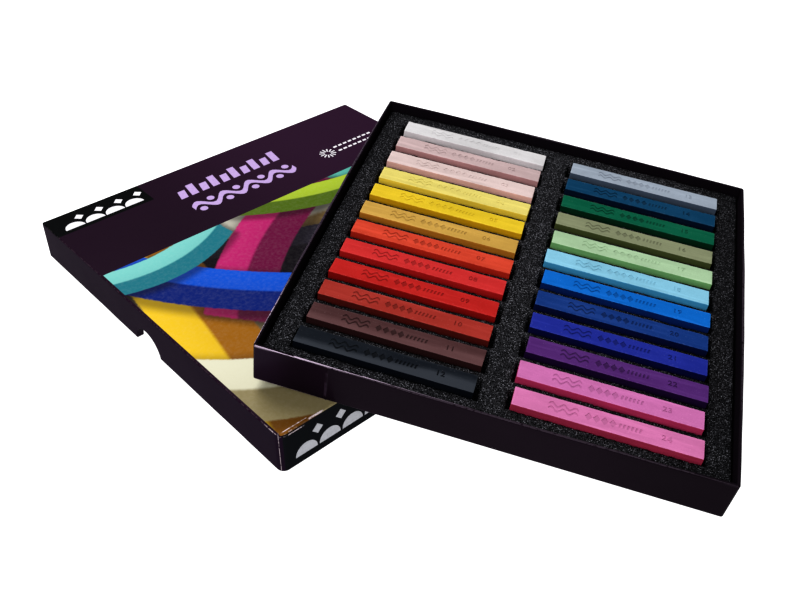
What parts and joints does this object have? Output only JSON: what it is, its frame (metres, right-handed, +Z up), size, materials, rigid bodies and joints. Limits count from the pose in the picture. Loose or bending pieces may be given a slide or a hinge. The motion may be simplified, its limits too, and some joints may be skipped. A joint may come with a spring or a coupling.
{
  "type": "boxed set of pastel sticks",
  "caption": "Shallow card box of square pastel sticks in slotted black foam, its tray leaning on its lift-off lid, with every stick free to lift out.",
  "frame": {"origin": "bottom centre of the whole arrangement, on the table", "axes": "+Z up, X along the lid's front edge, +Y from the leaning tray towards the lid's back edge"},
  "size_m": [0.2316, 0.286, 0.0516],
  "materials": {
    "lid_card": "printed paper over card, satin",
    "tray_card": "paper over card, satin",
    "foam": "black open-cell foam, matte",
    "chalk_white": "dry pressed pigment, matte",
    "chalk_dusty_pink": "dry pressed pigment, matte",
    "chalk_pale_pink": "dry pressed pigment, matte",
    "chalk_light_yellow": "dry pressed pigment, matte",
    "chalk_yellow": "dry pressed pigment, matte",
    "chalk_ochre": "dry pressed pigment, matte",
    "chalk_orange_red": "dry pressed pigment, matte",
    "chalk_red": "dry pressed pigment, matte",
    "chalk_deep_red": "dry pressed pigment, matte",
    "chalk_brown_red": "dry pressed pigment, matte",
    "chalk_dark_brown": "dry pressed pigment, matte",
    "chalk_blue_black": "dry pressed pigment, matte",
    "chalk_grey_blue": "dry pressed pigment, matte",
    "chalk_petrol_blue": "dry pressed pigment, matte",
    "chalk_dark_green": "dry pressed pigment, matte",
    "chalk_olive_green": "dry pressed pigment, matte",
    "chalk_light_green": "dry pressed pigment, matte",
    "chalk_light_cyan": "dry pressed pigment, matte",
    "chalk_azure": "dry pressed pigment, matte",
    "chalk_mid_blue": "dry pressed pigment, matte",
    "chalk_ultramarine": "dry pressed pigment, matte",
    "chalk_violet": "dry pressed pigment, matte",
    "chalk_bright_pink": "dry pressed pigment, matte",
    "chalk_pink": "dry pressed pigment, matte"
  },
  "bodies": {
    "lid_body": {"lid": "lid_card"},
    "tray_body": {"tray": "tray_card", "foam_base": "foam", "foam_slotted": "foam"},
    "pastel_01_body": {"pastel_01_white": "chalk_white"},
    "pastel_02_body": {"pastel_02_dusty_pink": "chalk_dusty_pink"},
    "pastel_03_body": {"pastel_03_pale_pink": "chalk_pale_pink"},
    "pastel_04_body": {"pastel_04_light_yellow": "chalk_light_yellow"},
    "pastel_05_body": {"pastel_05_yellow": "chalk_yellow"},
    "pastel_06_body": {"pastel_06_ochre": "chalk_ochre"},
    "pastel_07_body": {"pastel_07_orange_red": "chalk_orange_red"},
    "pastel_08_body": {"pastel_08_red": "chalk_red"},
    "pastel_09_body": {"pastel_09_deep_red": "chalk_deep_red"},
    "pastel_10_body": {"pastel_10_brown_red": "chalk_brown_red"},
    "pastel_11_body": {"pastel_11_dark_brown": "chalk_dark_brown"},
    "pastel_12_body": {"pastel_12_blue_black": "chalk_blue_black"},
    "pastel_13_body": {"pastel_13_grey_blue": "chalk_grey_blue"},
    "pastel_14_body": {"pastel_14_petrol_blue": "chalk_petrol_blue"},
    "pastel_15_body": {"pastel_15_dark_green": "chalk_dark_green"},
    "pastel_16_body": {"pastel_16_olive_green": "chalk_olive_green"},
    "pastel_17_body": {"pastel_17_light_green": "chalk_light_green"},
    "pastel_18_body": {"pastel_18_light_cyan": "chalk_light_cyan"},
    "pastel_19_body": {"pastel_19_azure": "chalk_azure"},
    "pastel_20_body": {"pastel_20_mid_blue": "chalk_mid_blue"},
    "pastel_21_body": {"pastel_21_ultramarine": "chalk_ultramarine"},
    "pastel_22_body": {"pastel_22_violet": "chalk_violet"},
    "pastel_23_body": {"pastel_23_bright_pink": "chalk_bright_pink"},
    "pastel_24_body": {"pastel_24_pink": "chalk_pink"}
  },
  "joints": [
    {"name": "tray_lift", "type": "slide", "parent": "lid_body", "child": "tray_body", "axis": [0, 0, 1], "range_m": [0, 0.06]},
    {"name": "pastel_01_lift", "type": "slide", "parent": "tray_body", "child": "pastel_01_body", "axis": [0, -0.1567, 0.9876], "range_m": [0, 0.03]},
    {"name": "pastel_02_lift", "type": "slide", "parent": "tray_body", "child": "pastel_02_body", "axis": [0, -0.1567, 0.9876], "range_m": [0, 0.03]},
    {"name": "pastel_03_lift", "type": "slide", "parent": "tray_body", "child": "pastel_03_body", "axis": [0, -0.1567, 0.9876], "range_m": [0, 0.03]},
    {"name": "pastel_04_lift", "type": "slide", "parent": "tray_body", "child": "pastel_04_body", "axis": [0, -0.1567, 0.9876], "range_m": [0, 0.03]},
    {"name": "pastel_05_lift", "type": "slide", "parent": "tray_body", "child": "pastel_05_body", "axis": [0, -0.1567, 0.9876], "range_m": [0, 0.03]},
    {"name": "pastel_06_lift", "type": "slide", "parent": "tray_body", "child": "pastel_06_body", "axis": [0, -0.1567, 0.9876], "range_m": [0, 0.03]},
    {"name": "pastel_07_lift", "type": "slide", "parent": "tray_body", "child": "pastel_07_body", "axis": [0, -0.1567, 0.9876], "range_m": [0, 0.03]},
    {"name": "pastel_08_lift", "type": "slide", "parent": "tray_body", "child": "pastel_08_body", "axis": [0, -0.1567, 0.9876], "range_m": [0, 0.03]},
    {"name": "pastel_09_lift", "type": "slide", "parent": "tray_body", "child": "pastel_09_body", "axis": [0, -0.1567, 0.9876], "range_m": [0, 0.03]},
    {"name": "pastel_10_lift", "type": "slide", "parent": "tray_body", "child": "pastel_10_body", "axis": [0, -0.1567, 0.9876], "range_m": [0, 0.03]},
    {"name": "pastel_11_lift", "type": "slide", "parent": "tray_body", "child": "pastel_11_body", "axis": [0, -0.1567, 0.9876], "range_m": [0, 0.03]},
    {"name": "pastel_12_lift", "type": "slide", "parent": "tray_body", "child": "pastel_12_body", "axis": [0, -0.1567, 0.9876], "range_m": [0, 0.03]},
    {"name": "pastel_13_lift", "type": "slide", "parent": "tray_body", "child": "pastel_13_body", "axis": [0, -0.1567, 0.9876], "range_m": [0, 0.03]},
    {"name": "pastel_14_lift", "type": "slide", "parent": "tray_body", "child": "pastel_14_body", "axis": [0, -0.1567, 0.9876], "range_m": [0, 0.03]},
    {"name": "pastel_15_lift", "type": "slide", "parent": "tray_body", "child": "pastel_15_body", "axis": [0, -0.1567, 0.9876], "range_m": [0, 0.03]},
    {"name": "pastel_16_lift", "type": "slide", "parent": "tray_body", "child": "pastel_16_body", "axis": [0, -0.1567, 0.9876], "range_m": [0, 0.03]},
    {"name": "pastel_17_lift", "type": "slide", "parent": "tray_body", "child": "pastel_17_body", "axis": [0, -0.1567, 0.9876], "range_m": [0, 0.03]},
    {"name": "pastel_18_lift", "type": "slide", "parent": "tray_body", "child": "pastel_18_body", "axis": [0, -0.1567, 0.9876], "range_m": [0, 0.03]},
    {"name": "pastel_19_lift", "type": "slide", "parent": "tray_body", "child": "pastel_19_body", "axis": [0, -0.1567, 0.9876], "range_m": [0, 0.03]},
    {"name": "pastel_20_lift", "type": "slide", "parent": "tray_body", "child": "pastel_20_body", "axis": [0, -0.1567, 0.9876], "range_m": [0, 0.03]},
    {"name": "pastel_21_lift", "type": "slide", "parent": "tray_body", "child": "pastel_21_body", "axis": [0, -0.1567, 0.9876], "range_m": [0, 0.03]},
    {"name": "pastel_22_lift", "type": "slide", "parent": "tray_body", "child": "pastel_22_body", "axis": [0, -0.1567, 0.9876], "range_m": [0, 0.03]},
    {"name": "pastel_23_lift", "type": "slide", "parent": "tray_body", "child": "pastel_23_body", "axis": [0, -0.1567, 0.9876], "range_m": [0, 0.03]},
    {"name": "pastel_24_lift", "type": "slide", "parent": "tray_body", "child": "pastel_24_body", "axis": [0, -0.1567, 0.9876], "range_m": [0, 0.03]}
  ]
}
